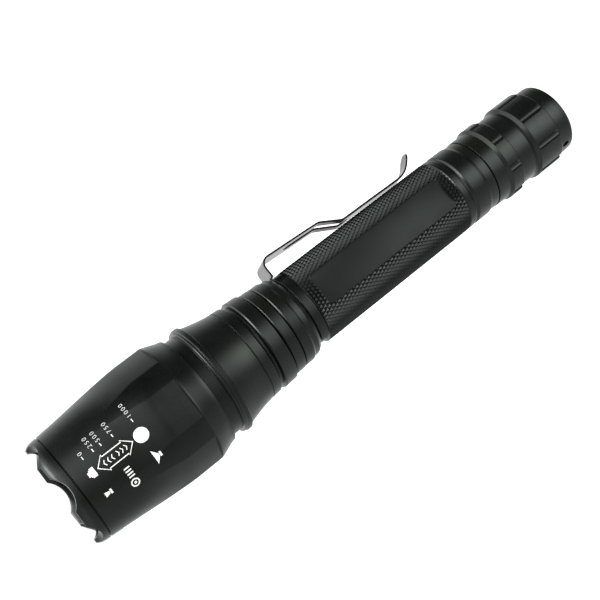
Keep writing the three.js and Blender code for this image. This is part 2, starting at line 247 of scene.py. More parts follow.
def bevelled(piece, width, finish=-1):
    """Adds a fine bevel along the piece's edges, with a finish of its own if wanted."""
    edge = piece.modifiers.new("edge", "BEVEL")
    edge.width = width * MM
    edge.segments = 2
    edge.limit_method = "ANGLE"
    edge.angle_limit = math.radians(50)
    edge.material = finish
    return piece


def columns(cuts, lands):
    """Lines up a piece: shares of a cut's half width, then of the land beside the cut."""
    return [("cut", share) for share in cuts] + [("land", share) for share in lands]


def column_angle(r, half, step, column):
    """Where a column stands at one radius; half is half the chord across a cut."""
    kind, share = column
    if kind == "cut":
        return math.asin(half * share / r)
    side = math.asin(half / r)
    return side + share * (step - 2 * side)


def helix_skin(name, root, crest, start, end, pitch, inner, sides=96):
    """A threaded sleeve: its outer face rises and falls along one helix."""
    steps = 8
    angles = [2 * math.pi * i / sides for i in range(sides)]
    rows = round((end - start) / pitch * steps)
    grid = []
    for j in range(rows + 1):
        z = start + (end - start) * j / rows
        fade = min(1, j / steps, (rows - j) / steps)
        ring = []
        for i, angle in enumerate(angles):
            phase = (z / pitch - i / sides) % 1
            height = (1 - abs(2 * phase - 1)) * 1.4 - 0.2
            r = root + (crest - root) * fade * min(1, max(0, height))
            ring.append(polar(r, angle, z))
        grid.append(ring)
    grid += [[polar(inner, angle, z) for angle in angles] for z in (end, start)]
    return skin(name, grid, 50)


# ---------- tail cap
SLOT_COLUMNS = columns((-1, -0.97, -0.8, -0.5, -0.2, 0, 0.2, 0.5, 0.8, 0.97, 1),
                       (0.02, 0.15, 0.3, 0.5, 0.7, 0.85, 0.98))


def slot_point(r, z, sector, column):
    """A corner of the slotted cap: each slot is a groove with a round bottom."""
    kind, share = column
    step = 2 * math.pi / SLOTS["count"]
    half = math.sqrt(SLOTS["radius"] ** 2 - SLOTS["centre"] ** 2)
    angle = column_angle(r, half, step, column) + sector * step + math.radians(SLOTS["turn"])
    if kind == "cut" and any(start < z < end for start, end in SLOTS["spans"]):
        drop = math.sqrt(SLOTS["radius"] ** 2 - (half * share) ** 2)
        r = min(r, CAP_RADIUS + SLOTS["centre"] - drop)
    return polar(r, angle, z)


def tail_cap():
    """The cap with its two slotted grip rings, each with a chamfer towards the head."""
    bore, cavity, opening = CAP_BORE, 9.3, 6.5
    outline = softened([
        (opening, 0, 0.4), (12.15, 0, 0.2), (12.6, 0.45, 0.3), (END_RING, 1.6, 0.6),
        (END_RING, 6.25, 0.1), (CAP_RADIUS - 0.15, 6.45, 0.1), (CAP_RADIUS, 6.75, 0.1),
        (CAP_RADIUS, 16.08, 0), (CAP_RADIUS, 16.12, 0), (CAP_RADIUS, 16.3, 0.1),
        (13.0, 17.45, 0.2), (12.8, 18.4, 0.4), (12.8, 24.4, 0.1),
        (CAP_RADIUS - 0.15, 24.62, 0.1), (CAP_RADIUS, 24.92, 0.1), (CAP_RADIUS, 29.28, 0),
        (CAP_RADIUS, 29.32, 0), (CAP_RADIUS, 29.5, 0.1), (13.0, 30.65, 0.25),
        (12.95, CAP_TOP, 0.15), (bore, CAP_TOP), (bore, 23.3), (cavity, 23.3), (cavity, 2.2),
        (opening, 2.2),
    ])
    outline = [p for a, b in zip(outline, outline[1:] + outline[:1]) for p in split_tall(a, b)]
    grid = [[slot_point(r, z, sector, column)
             for sector in range(SLOTS["count"]) for column in SLOT_COLUMNS]
            for r, z in outline]
    cap = skin("tail_cap_shell", grid, 35)
    return carved(cap, lanyard_cutter())


def split_tall(a, b, length=1.5):
    """Points that divide a long stretch of the cap's outer side, so that shading stays even."""
    tall = abs(b[1] - a[1])
    if tall < length or min(a[0], b[0]) < 12.5:
        return [a]
    steps = math.ceil(tall / length)
    return [(a[0] + (b[0] - a[0]) * k / steps, a[1] + (b[1] - a[1]) * k / steps)
            for k in range(steps)]


def lanyard_cutter():
    """A slanting round bar where the lanyard hole runs from the side to the end face."""
    half, inset = LANYARD["half_length"], LANYARD["inset"]
    bar = prism("lanyard_cutter", circle(LANYARD["radius"], count=32), -half, half)
    turn = Matrix.Rotation(math.radians(LANYARD["turn"]), 4, "Z")
    shift = Matrix.Translation(Vector((END_RING - inset, 0, LANYARD["height"] - inset)) * MM)
    bar.data.transform(turn @ shift @ Matrix.Rotation(math.radians(45), 4, "Y"))
    return bar


def switch_boot():
    """The rubber cap: a low dome with three grip rings, and a flange under the end wall."""
    flange = high("switch_boot")
    dome = [(0.0, 0.9), (1.1, 0.9), (1.3, 1.05), (1.6, 1.05), (1.8, 0.92), (2.6, 0.96), (2.8, 1.12),
            (3.1, 1.14), (3.3, 1.0), (4.1, 1.1), (4.3, 1.28), (4.6, 1.32), (4.8, 1.22), (5.5, 1.5),
            (6.0, 1.95), (6.15, 2.5)]
    outline = dome + [(8.7, 2.5), (8.7, flange), (5.2, flange), (4.9, 2.4), (3.4, 1.95), (0.0, 1.9)]
    return turned("switch_boot_cap", softened(outline, 0.12), 96, 60)


# ---------- battery tube
def tube_core():
    """The turned stretches of the tube. The knurled sleeve sits round its middle."""
    undercut = 10.45
    groove = 10.3
    collar = 13.15
    shoulder = CAP_TOP + 0.3
    front = high("battery_tube")
    return turned("tube_core", softened([
        (TUBE_BORE, TUBE_TAIL), (undercut, TUBE_TAIL), (undercut, 31.9), (THREAD_RADIUS, 31.95),
        (THREAD_RADIUS, 32.2), (groove, 32.2), (groove, 34), (THREAD_RADIUS, 34),
        (THREAD_RADIUS, shoulder), (12.75, shoulder, 0.15), (12.8, 38.7, 0.5), (collar, 39.9, 0.8),
        (collar, 45.1, 0.5), (12.62, 45.8, 0.4), (12.62, 46.35, 0.3), (collar, 46.85, 0.25),
        (collar, 48.95, 0.2), (12.7, KNURL["from"] + 0.1), (11.6, KNURL["from"] + 0.2),
        (11.6, KNURL["to"] - 0.2), (13.0, KNURL["to"] - 0.15, 0.15), (13.0, 110.95, 0.1),
        (12.25, 111.1), (12.25, NECK_REAR - 0.3), (THREAD_RADIUS, NECK_REAR - 0.3),
        (THREAD_RADIUS, front), (TUBE_BORE, front),
    ]))


def knurled_sleeve():
    """Rows of four-sided pyramids with small flat tips, cut by two crossing sets of grooves."""
    starts, depth = KNURL["starts"], KNURL["depth"]
    rows = 2 * round((KNURL["to"] - KNURL["from"]) / KNURL["period"])
    tip = 0.13
    inner = 11.2
    places, faces = {}, []

    def corner(u, v, r):
        """Index of the corner at u pitches round and v half rows up."""
        u = round(u % (2 * starts), 4)
        key = (u, round(v, 4), r)
        if key not in places:
            places[key] = len(places)
        return places[key]

    def crossing(u, v):
        return corner(u, v, TUBE_RADIUS - depth)

    def plateau(u, v):
        return corner(u, v, TUBE_RADIUS)

    for j in range(rows + 1):
        for i in range((j + 1) % 2, 2 * starts, 2):
            left, right = plateau(i - tip, j), plateau(i + tip, j)
            ends = []
            for way in (-1, 1):
                if 0 <= j + way <= rows:
                    peak, base = plateau(i, j + way * tip), crossing(i, j + way)
                    faces.append([left, crossing(i - 1, j), base, peak])
                    faces.append([right, peak, base, crossing(i + 1, j)])
                    ends.append(peak)
            faces.append([left, *ends[:1], right, *ends[1:]])
    for j in (0, rows):
        for i in range(1 - j % 2, 2 * starts, 2):
            around = (i - 1, i - tip, i + tip, i + 1)
            rim = [crossing(i - 1, j), plateau(i - tip, j), plateau(i + tip, j), crossing(i + 1, j)]
            hub = [corner(u, j, inner) for u in around]
            for k in range(3):
                faces.append([rim[k], rim[k + 1], hub[k + 1], hub[k]])
                if j == 0:
                    tops = [corner(u, rows, inner) for u in around]
                    faces.append([hub[k], hub[k + 1], tops[k + 1], tops[k]])
    span = KNURL["to"] - KNURL["from"]
    vertices = []
    for u, v, r in places:
        vertices.append(polar(r, math.pi * u / starts, KNURL["from"] + span * v / rows))
    sleeve = cleaned(new_object("tube_knurl", vertices, faces), 20)
    sleeve = carved(sleeve, flat_cutters())
    return cleaned(sleeve, 20)


def rounded_rectangle(half, start, end, corner):
    """A rectangle from start to end along z with rounded corners, as (y, z)."""
    points = []
    for cx, cz, first in ((half - corner, end - corner, 0), (corner - half, end - corner, 90),
                          (corner - half, start + corner, 180), (half - corner, start + corner, 270)):
        for k in range(9):
            a = math.radians(first + 90 * k / 8)
            points.append((cx + corner * math.cos(a), cz + corner * math.sin(a)))
    return points


def round_the_tube(name, outline, inner, outer):
    """One block on each flat of the tube: an outline of (y, z) between two distances."""
    stand = Matrix(((0, 0, 1, 0), (1, 0, 0, 0), (0, 1, 0, 0), (0, 0, 0, 1)))
    blocks = []
    for k in range(TUBE_FLATS["count"]):
        block = prism(f"{name}_{k}", outline, inner, outer)
        angle = math.radians(TUBE_FLATS["turn"] + 360 * k / TUBE_FLATS["count"])
        block.data.transform(Matrix.Rotation(angle, 4, "Z") @ stand)
        blocks.append(block)
    return joined(name, blocks)


def flat_cutters():
    """Blocks where the milled flats take the knurl away, wide enough to leave its sides."""
    outline = rounded_rectangle(7.4, TUBE_FLATS["from"], TUBE_FLATS["to"], 3.0)
    distance = TUBE_FLATS["distance"]
    return round_the_tube("flat_cutters", outline, distance, distance + 3)


def tube_flats():
    """The milled faces themselves, with a fine bevel and a crisp outline."""
    margin = 0.03
    outline = rounded_rectangle(TUBE_FLATS["half"], TUBE_FLATS["from"] + margin,
                                TUBE_FLATS["to"] - margin, 1.3)
    distance = TUBE_FLATS["distance"] + 0.02
    flats = round_the_tube("tube_flats", outline, distance - 1.4, distance)
    return cleaned(baked(bevelled(flats, 0.16)), 30)


def seal_ring(name, radius, height, thickness):
    return turned(name, circle(thickness / 2, radius, height, 16), 96, 60)


# ---------- neck
def neck():
    """Three fins, the flare, the flange that stops the head, and the plain neck it slides on."""
    flange = reach("heatsink_neck")
    bore = CAP_BORE
    flare = curved([(16.1, 136.7), (16.35, 138.6), (16.85, 141.3), (17.55, 144.3), (18.35, 147.15)])
    outline = softened([
        (bore, NECK_REAR), (13.05, NECK_REAR, 0.15), (13.35, 114.95, 0.3), (14.2, 116.15, 0.6),
        (14.35, 118.0, 0.3), (14.78, 118.7, 0.3), (14.82, 121.65, 0.06), (14.58, 121.97, 0.05),
        (13.5, 122.0), (13.5, 122.4), (15.0, 122.6, 0.12), (15.1, 125.75, 0.06),
        (14.86, 126.1, 0.05), (13.6, 126.15), (13.6, 126.6), (15.78, 126.8, 0.15),
        (16.05, 130.95, 0.06), (15.75, 131.35, 0.05), (14.5, 131.8), (14.5, 132.5),
        (15.85, 133.3, 0.2), (16.1, 136.25, 0.06), (15.88, 136.32, 0.04), (15.88, 136.5, 0.04),
        *flare, (18.45, 147.3, 0.1), (flange, 147.5, 0.1), (flange, 148.85, 0.08),
        (flange - 0.22, 149.1, 0.06), (18.68, 149.2, 0.05), (18.68, 149.65, 0.06),
        (18.45, 149.95, 0.06), (17.5, 150.1, 0.1),
        (17.5, NECK_TOP), (13.5, NECK_TOP), (13.5, 158), (9.7, 158), (9.7, 126.2), (bore, 126.2),
    ])
    return turned("neck_shell", outline, 192)


# ---------- zoom head
def head_outline_radius(z):
    """Outer radius of the head, before its flats, at one height."""
    points = [(HEAD_REAR, 18.7), (155.0, 18.9), (156.2, 19.3), (157.3, 19.72), (158.4, 20.13),
              (159.3, 20.45), (160.2, 20.74), (161.5, HEAD_RADIUS), (170.0, HEAD_RADIUS),
              (173.0, 20.62), (178.5, 20.15), (184.0, 19.64), (189.8, 19.05), (195.8, 18.48),
              (HEAD_TOP, 18.12)]
    return float(np.interp(z, [p[0] for p in points], [p[1] for p in points]))


def faded(z):
    """0 where a flat is whole, rising to 1 where it has run out."""
    share = (z - HEAD_FLATS["fade"]) / (HEAD_FLATS["gone"] - HEAD_FLATS["fade"])
    return min(1, max(0, share))


def flat_half(z):
    """Half the angle that a flat takes up at one height, in radians."""
    wide, half = HEAD_FLATS["wide"], HEAD_FLATS["half"]
    return math.radians(half + (wide - half) * faded(z))


def flat_strength(z):
    """1 where the flat is cut in full, falling to 0 where it has run out."""
    if z < HEAD_FLATS["from"]:
        return 0.0
    share = faded(z)
    return 1 - share * share * (3 - 2 * share)


def head_radius(angle, z):
    """Radius of the head's skin at an angle from the camera side and a height."""
    r = head_outline_radius(z)
    step = 2 * math.pi / HEAD_FLATS["count"]
    off = (angle + step / 2) % step - step / 2
    half = flat_half(z)
    if abs(off) >= half:
        return r
    flat = r * math.cos(half) / math.cos(off) + FLAT_BULGE * (1 - (off / half) ** 2)
    return r + (flat - r) * flat_strength(z)


HEAD_COLUMNS = columns((-1, -0.985, -0.85, -0.6, -0.3, 0, 0.3, 0.6, 0.85, 0.985, 1),
                       (0.05, 0.25, 0.5, 0.75, 0.95))


def zoom_head():
    """The head: a skin with its flats outside, and a plain stepped bore inside."""
    heights = [HEAD_REAR + 0.15, 154.4, 155.0, 155.6, 156.2, 156.8, 157.3, 157.9, 158.4, 158.9, 159.3,
               159.8, 160.2, 160.42, 160.49, 160.56, 160.65, 161.5, 163, 166, 169, 170, 171]
    heights += list(np.arange(172, HEAD_TOP - 0.5, 1.2)) + [HEAD_TOP - 0.25, HEAD_TOP - 0.12]
    skirt = [(17.8, HEAD_REAR + 0.15), (17.95, HEAD_REAR), (18.5, HEAD_REAR)]
    inside = [(17.95, HEAD_TOP), (17.1, HEAD_TOP), (17.1, 186.5), (15.4, 186.5), (15.4, 180.3),
              (18.4, 180.3), (18.4, 158.7), (17.8, 158.7)]
    outer = [(head_outline_radius(z), z) for z in heights]
    step = 2 * math.pi / HEAD_FLATS["count"]
    grid = []
    for r, z in skirt + outer + inside:
        half = flat_half(z)
        ring = []
        for sector in range(HEAD_FLATS["count"]):
            for kind, share in HEAD_COLUMNS:
                off = half * share if kind == "cut" else half + share * (step - 2 * half)
                angle = sector * step + off
                radius = head_radius(angle, z) if (r, z) in outer else r
                ring.append(polar(radius, angle + math.radians(VIEW_AZIMUTH), z))
        grid.append(ring)
    return skin("head_shell", grid, 32)


# ---------- bezel
def scallop_height(offset):
    """Height of the scallops' cut at a distance from their middle plane."""
    return SCALLOPS["centre"] - math.sqrt(SCALLOPS["radius"] ** 2 - offset ** 2)


def bezel_face(height):
    """Outer and inner radius of the bezel ring at one height near its front."""
    outer = np.interp(height, (200.3, 201.7, 203.35, BEZEL_TOP), (18.1, 18.02, 17.72, 16.95))
    inner = np.interp(height, (202.2, BEZEL_TOP), (15.3, 15.95))
    return float(outer), float(inner)


def bezel_ring():
    """The front ring: columns follow the scallops, so that their edges stay crisp."""
    rim = BEZEL_TOP - SCALLOPS["centre"]
    half = math.sqrt(SCALLOPS["radius"] ** 2 - rim ** 2)
    step = 2 * math.pi / SCALLOPS["count"]
    lines = columns([-1, -0.985, *np.linspace(-0.94, 0.94, 21), 0.985, 1],
                    (0.03, 0.25, 0.5, 0.75, 0.97))
    bore, thread, bottom = 15.3, 16.8, 190.9
    edge = 0.14
    profile = [("fixed", bore, bottom), ("fixed", thread, bottom), ("fixed", thread, 200.2),
               ("fixed", 17.9, 200.2), ("fixed", 18.1, 200.35)]
    profile += [("outer", level, 0) for level in (0.0, 0.03, 0.2, 0.4, 0.6, 0.8, 0.9, 0.97)]
    profile += [("outer", 1, -edge), ("outer", 1, 0), ("top", 0.1, 0), ("top", 0.5, 0), ("top", 0.9, 0)]
    profile += [("inner", 1, 0), ("inner", 1, -edge), ("inner", 0.8, 0), ("inner", 0.4, 0)]
    profile += [("inner", 0.0, 0)]
    grid = []
    for kind, value, drop in profile:
        ring = []
        for sector in range(SCALLOPS["count"]):
            for line in lines:
                height = scallop_height(half * line[1]) if line[0] == "cut" else BEZEL_TOP
                if kind == "fixed":
                    r, z = value, drop
                elif kind == "top":
                    outer, inner = bezel_face(height)
                    r, z = outer + (inner - outer) * value, height
                else:
                    base = 200.5 if kind == "outer" else 200.9
                    z = base + (height - base) * value + drop
                    outer, inner = bezel_face(z)
                    inset = 0.05 if value == 1 and drop == 0 else 0
                    r = outer - inset if kind == "outer" else inner + inset
                angle = column_angle(max(r, bore), half, step, line) + sector * step
                ring.append(polar(r, angle + math.radians(VIEW_AZIMUTH), z))
        grid.append(ring)
    return skin("bezel_shell", grid, 40)


def lens_dome():
    """The convex lens with its flat back and the flange that the bezel holds."""
    flange = LENS_BASE + 1.8
    dome = [(15 * math.cos(a), flange + (LENS_TOP - flange) * math.sin(a))
            for a in np.linspace(0, math.pi / 2, 28)]
    outline = [(0.0, LENS_BASE), (16.7, LENS_BASE), (16.8, LENS_BASE + 0.1), (16.8, flange - 0.1),
               (16.7, flange), (15.1, flange), *dome]
    return turned("lens_dome", [(max(r, 0.0), z) for r, z in outline], 128, 50)


# ---------- pocket clip
CLIP_STEEL = 0.6                # thickness of the strip
CLIP_ROOT = 113.85              # height where the blade leaves the band
CLIP_BEND = {"centre": (16.45, 111.1), "radius": 2.75, "turn": 94}
CLIP_SLOT = {"from": 80.4, "to": 103.6, "low": 1.7, "high": 2.3, "first_row": 14}


def clip_line():
    """Side view of the clip's middle line as (y, z), from the band to the tip."""
    centre, radius = CLIP_BEND["centre"], CLIP_BEND["radius"]
    bend = [(centre[0] + radius * math.sin(a), centre[1] + radius * math.cos(a))
            for a in np.linspace(0, math.radians(CLIP_BEND["turn"]), 14)]
    run = [(18.1, 91.3), (17.98, 90.5), (17.7, 89.9), (14.6, 84.3), (14.3, 83.7), (14.14, 83.1),
           (14.1, 82.4), (14.0, 70), (13.85, 58.4), (13.95, 57.2), (14.25, 56.0), (14.8, 54.8),
           (15.6, 53.6), (16.7, 52.4), (17.9, 51.3), (19.28, 50.1)]
    line = [Vector(p) for p in [(12.9, CLIP_ROOT), (14.5, CLIP_ROOT), *bend, *run]]
    fine = [line[0]]
    for a, b in zip(line, line[1:]):
        steps = max(1, math.ceil((b - a).length / 0.6))
        fine += [a.lerp(b, (k + 1) / steps) for k in range(steps)]
    return fine


def clip_half_width(z, tip):
    """Half the width of the blade, with the round end of its tab."""
    width = float(np.interp(z, (51, 62, 84, 97, 113), (3.6, 3.6, 5.0, 5.9, 6.0)))
    end = 2.6
    if tip < end:
        width = min(width, width - end + math.sqrt(max(0.0, end ** 2 - (end - tip) ** 2)))
    return width


def slot_half_width(z):
    """Half the width of the blade's slot, which has round ends."""
    start, end = CLIP_SLOT["from"], CLIP_SLOT["to"]
    if not start < z < end:
        return 0.0
    width = float(np.interp(z, (start, end), (CLIP_SLOT["low"], CLIP_SLOT["high"])))
    near = min(end - z, z - start)
    return width if near >= width else math.sqrt(width ** 2 - (width - near) ** 2)


def pocket_clip(face_finish, edge_finish):
    """The blade as a bent sheet with its slot, given the steel's thickness."""
    line = clip_line()
    lengths = np.cumsum([0] + [(b - a).length for a, b in zip(line, line[1:])])
    vertices, faces, rows = [], [], []
    for i, point in enumerate(line):
        tip = lengths[-1] - lengths[i]
        outer = clip_half_width(point.y, tip)
        inner = slot_half_width(point.y) if i > CLIP_SLOT["first_row"] else 0.0
        row = []
        for side in (-1, 1):
            for share in (1, 0.85, 0.5, 0.15, 0):
                x = side * (inner + (outer - inner) * share)
                vertices.append((x, point.x, point.y))
                row.append(len(vertices) - 1)
        rows.append(row)
    for a, b in zip(rows, rows[1:]):
        for k in (0, 1, 2, 3, 5, 6, 7, 8):
            faces.append([a[k], a[k + 1], b[k + 1], b[k]])
    blade = new_object("pocket_clip", vertices, faces)
    blade.data.materials.append(face_finish)
    blade.data.materials.append(edge_finish)
    cleaned(blade, 30)
    thick = blade.modifiers.new("steel", "SOLIDIFY")
    thick.thickness = CLIP_STEEL * MM
    thick.offset = 0
    thick.use_even_offset = True
    thick.material_offset_rim = 1
    baked(bevelled(blade, 0.05, 1))
    blade.data.shade_smooth()
    blade.data.set_sharp_from_angle(angle=math.radians(40))
    return blade


def clip_band():
    """The clip's band: an open ring in the tube's groove."""
    bottom, top_edge = low("clip_band"), high("clip_band")
    outer, inner = reach("clip_band"), 12.55
    gap = math.radians(24)
    section = softened([(inner, bottom), (outer, bottom), (outer, top_edge), (inner, top_edge)], 0.15)
    angles = np.linspace(-math.pi / 2 + gap, 1.5 * math.pi - gap, 97)
    vertices, faces = [], []
    for a in angles:
        vertices += [polar(r, a, z) for r, z in section]
    count = len(section)
    for i in range(len(angles) - 1):
        for k in range(count):
            a, b = i * count + k, i * count + (k + 1) % count
            faces.append([a, b, b + count, a + count])
    faces.append(list(range(count))[::-1])
    faces.append([(len(angles) - 1) * count + k for k in range(count)])
    return cleaned(new_object("clip_ring_band", vertices, faces), 40)


# ---------- print on the head
PRINT_LIFT = 0.02
PRINT_DEPTH = 0.03


def flat_mesh(name, rings):
    """Fills closed outlines of (along, across) points; one inside another is a hole."""
    curve = bpy.data.curves.new(name, "CURVE")
    curve.dimensions = "2D"
    curve.fill_mode = "BOTH"
    for ring in rings:
        spline = curve.splines.new("POLY")
        spline.points.add(len(ring) - 1)
        for point, (x, y) in zip(spline.points, ring):
            point.co = (x, y, 0, 1)
        spline.use_cyclic_u = True
    return mesh_from(name, curve)


def mesh_from(name, curve):
    """The mesh of a curve or a text, as an object of its own."""
    source = linked(name + "_source", curve)
    graph = bpy.context.evaluated_depsgraph_get()
    mesh = bpy.data.meshes.new_from_object(source.evaluated_get(graph))
    bpy.data.objects.remove(source)
    return linked(name, mesh)


def numeral(text, along, across, size):
    """A scale number that reads round the head, starting at one place."""
    curve = bpy.data.curves.new("numeral", "FONT")
    curve.body = text
    curve.size = size
    curve.align_x = "LEFT"
    curve.space_character = 1.42
    curve.offset = -0.035
    piece = mesh_from("numeral_" + text, curve)
    shift = Matrix.Translation((along, across, 0))
    swap = Matrix(((0, 1, 0, 0), (1, 0, 0, 0), (0, 0, 1, 0), (0, 0, 0, 1)))
    piece.data.transform(shift @ swap)
    return piece


def rectangle(along, across, length, width):
    return [(along + length / 2 * a, across + width / 2 * b)
            for a, b in ((-1, -1), (1, -1), (1, 1), (-1, 1))]


def double_arrow(middle, half, wing, body, neck_at, grow=0.0):
    """Outline of a two-headed arrow along the head, grown by a margin."""
    quarter = [(half + grow * 1.35, 0), (neck_at - grow * 0.4, wing + grow * 1.2),
               (neck_at - grow * 0.4, body + grow)]
    points = quarter + [(-x, y) for x, y in quarter[:0:-1]] + [(-half - grow * 1.35, 0)]
    points += [(-x, -y) for x, y in quarter[1:]] + [(x, -y) for x, y in quarter[:0:-1]]
    return [(middle + x, y) for x, y in points]


def beam_mark(along, across, spread):
    """A small lamp with the beam it throws."""
    fan = [(along - 0.5, across + 0.4), (along + 1.0, across + spread), (along + 1.0, across - spread),
           (along - 0.5, across - 0.4)]
    return [fan, rectangle(along - 1.0, across, 0.6, 1.5)]


def wrapped(piece):
    """Lays flat artwork on the head: x is height and y the distance round from its front."""
    work = bmesh.new()
    work.from_mesh(piece.data)
    bmesh.ops.triangulate(work, faces=work.faces)
    for _ in range(4):
        long_edges = [e for e in work.edges if e.calc_length() > 0.7]
        if not long_edges:
            break
        bmesh.ops.subdivide_edges(work, edges=long_edges, cuts=1)
        bmesh.ops.triangulate(work, faces=work.faces)
    for vertex in work.verts:
        z = vertex.co.x
        angle = vertex.co.y / head_outline_radius(z)
        r = head_radius(angle, z) + PRINT_LIFT
        turn = angle + math.radians(VIEW_AZIMUTH)
        vertex.co = Vector(polar(r, turn, z)) * MM
    work.normal_update()
    for face in work.faces:
        centre = face.calc_center_median()
        if face.normal.x * centre.x + face.normal.y * centre.y < 0:
            face.normal_flip()
    work.to_mesh(piece.data)
    work.free()
    return piece


def chevron(along, across, point, half, line):
    """A narrow V along the head; point is how far its tip leads."""
    return [(along, across - half), (along + point, across), (along, across + half),
            (along + line, across + half), (along + point + line, across),
            (along + line, across - half)]


def head_print():
    """White marks: a dot, a zoom arrow, a number scale and beam signs."""
    middle = 186.65
    arrow = {"middle": middle, "half": 6.2, "wing": 2.75, "body": 2.15, "neck_at": 3.2}
    art = [
        flat_mesh("dot", [circle(2.28, 177.6)]),
        flat_mesh("arrow", [double_arrow(**arrow), double_arrow(**arrow, grow=-0.27)]),
        flat_mesh("block", [[(195.9, -0.7), (195.3, -0.7), (195.3, -1.15), (195.0, -1.15),
                             (195.0, -1.45), (193.6, -1.45), (193.6, 1.45), (194.9, 1.45),
                             (194.9, 1.1), (195.3, 1.1), (195.3, 0.7), (195.9, 0.7)]]),
    ]
    signs = [chevron(middle + 1.35 * k, 0, -0.5 if k < 0 else 0.5, 0.85, -0.28 if k < 0 else 0.28)
             for k in (-2.4, -1.4, -0.4, 0.4, 1.4, 2.4)]
    art.append(flat_mesh("chevrons", signs))
    narrow = beam_mark(194.4, -7.4, 0.75)
    wide = beam_mark(177.4, -7.7, 2.3)
    target = [circle(radius, 186.6, -10.0) for radius in (1.35, 0.95, 0.4)]
    bars = [rectangle(186.4, -4.9 - 0.95 * k, 1.9, 0.4) for k in range(4)]
    art += [flat_mesh("beam_marks", narrow + wide), flat_mesh("target", target),
            flat_mesh("bars", bars)]
    scale = (("0", 193.5), ("250", 190.0), ("500", 187.35), ("750", 183.3), ("1000", 176.35))
    art += [numeral(text, height, 6.0, 1.95) for text, height in scale]
    ticks = [rectangle(height + 0.75, 5.0, 0.26, 1.0) for _, height in scale]
    art.append(flat_mesh("ticks", ticks))
    piece = joined("head_print", [wrapped(mark) for mark in art])
    thick = piece.modifiers.new("ink", "SOLIDIFY")
    thick.thickness = PRINT_DEPTH * MM
    thick.offset = 1
    return baked(piece)


# ---------- materials
ONLY_HEIGHT = (0, 0, 1)            # stretch of a noise that changes along the axis alone
DYE_TINT = (0.9, 1.0, 0.95, 1)     # the black dye's faint green cast in reflections
WHITE = (1, 1, 1, 1)


def new_material(name, base, roughness, **sockets):
    """A material and its values; an underscore stands for a space in a socket's name."""
    material = bpy.data.materials.new(name)
    material.use_nodes = True
    shader = material.node_tree.nodes["Principled BSDF"]
    sockets.update(Base_Color=(*base, 1), Roughness=roughness)
    for socket, value in sockets.items():
        shader.inputs[socket.replace("_", " ")].default_value = value
    return material


def add(material, kind, **values):
    node = material.node_tree.nodes.new(kind)
    for socket, value in values.items():
        node.inputs[socket.replace("_", " ")].default_value = value
    return node


def link(material, source, target):
    material.node_tree.links.new(source, target)


def feed(material, source, socket):
    """Joins a node's output to a socket of the material's shader."""
    link(material, source, material.node_tree.nodes["Principled BSDF"].inputs[socket])


def noise(material, scale, detail=3.0, stretch=(1, 1, 1)):
    """Noise in the row frame; scale is in features per metre."""
    coordinates = add(material, "ShaderNodeTexCoord")
    mapping = add(material, "ShaderNodeMapping", Scale=stretch)
    texture = add(material, "ShaderNodeTexNoise", Scale=scale, Detail=detail)
    link(material, coordinates.outputs["Object"], mapping.inputs["Vector"])
    link(material, mapping.outputs["Vector"], texture.inputs["Vector"])
    return texture.outputs["Fac"]


def roughened(material, grain, start, end):
    """Varies the roughness between two values by a noise."""
    node = add(material, "ShaderNodeMapRange", To_Min=start, To_Max=end)
    link(material, noise(material, *grain), node.inputs["Value"])
    feed(material, node.outputs["Result"], "Roughness")


def tinted(material, grain, dark, light):
    """Colours the material between two shades by a noise."""
    ramp = add(material, "ShaderNodeValToRGB")
    for element, position, shade in zip(ramp.color_ramp.elements, (0.3, 0.7), (dark, light)):
        element.position = position
        element.color = (*shade, 1)
    link(material, noise(material, *grain), ramp.inputs["Fac"])
    feed(material, ramp.outputs["Color"], "Base Color")


def bumped(material, *layers):
    """Stacks bump layers: (noise, distance in millimetres, strength)."""
    normal = None
    for grain, distance, strength in layers:
        bump = add(material, "ShaderNodeBump", Distance=distance * MM, Strength=strength)
        link(material, noise(material, *grain), bump.inputs["Height"])
        if normal is not None:
            link(material, normal, bump.inputs["Normal"])
        normal = bump.outputs["Normal"]
    feed(material, normal, "Normal")


def anodised(name="anodised", roughness=0.26, index=1.6):
    """Hard black anodising on turned aluminium: a fine grain over faint turning rings."""
    material = new_material(name, (0.003, 0.0034, 0.0034), roughness, IOR=index,
                            Specular_Tint=DYE_TINT)
    tinted(material, (90, 4), (0.0018, 0.0022, 0.0026), (0.0045, 0.005, 0.004))
    roughened(material, (220, 4), roughness - 0.05, roughness + 0.07)
    bumped(material, ((5200, 2), 0.02, 0.14), ((2600, 3, ONLY_HEIGHT), 0.01, 0.10))
    return material


def knurled_black():
    """The same anodising on the knurl, rubbed a little paler in patches."""
    material = new_material("anodised_knurl", (0.003, 0.0034, 0.0033), 0.18, IOR=1.7,
                            Specular_Tint=DYE_TINT)
    tinted(material, (160, 5), (0.0018, 0.0021, 0.0022), (0.005, 0.0055, 0.005))
    roughened(material, (400, 4), 0.12, 0.24)
    bumped(material, ((6000, 2), 0.02, 0.2))
    return material


def clip_steel():
    """Blackened spring steel, polished, with fine drawing lines along the strip."""
    material = new_material("clip_steel", (0.02, 0.02, 0.02), 0.16, IOR=2.0)
    tinted(material, (300, 5, (1, 1, 0.2)), (0.012, 0.012, 0.013), (0.03, 0.03, 0.029))
    roughened(material, (900, 4, (4, 1, 0.15)), 0.1, 0.24)
    bumped(material, ((3500, 2, (1, 1, 0.05)), 0.01, 0.15))
    return material


def clip_edge():
    """The strip's stamped edges, dull black."""
    material = new_material("clip_edge", (0.003, 0.003, 0.003), 0.5, IOR=1.35)
    tinted(material, (900, 4), (0.002, 0.002, 0.002), (0.004, 0.004, 0.004))
    bumped(material, ((4000, 2), 0.02, 0.3))
    return material


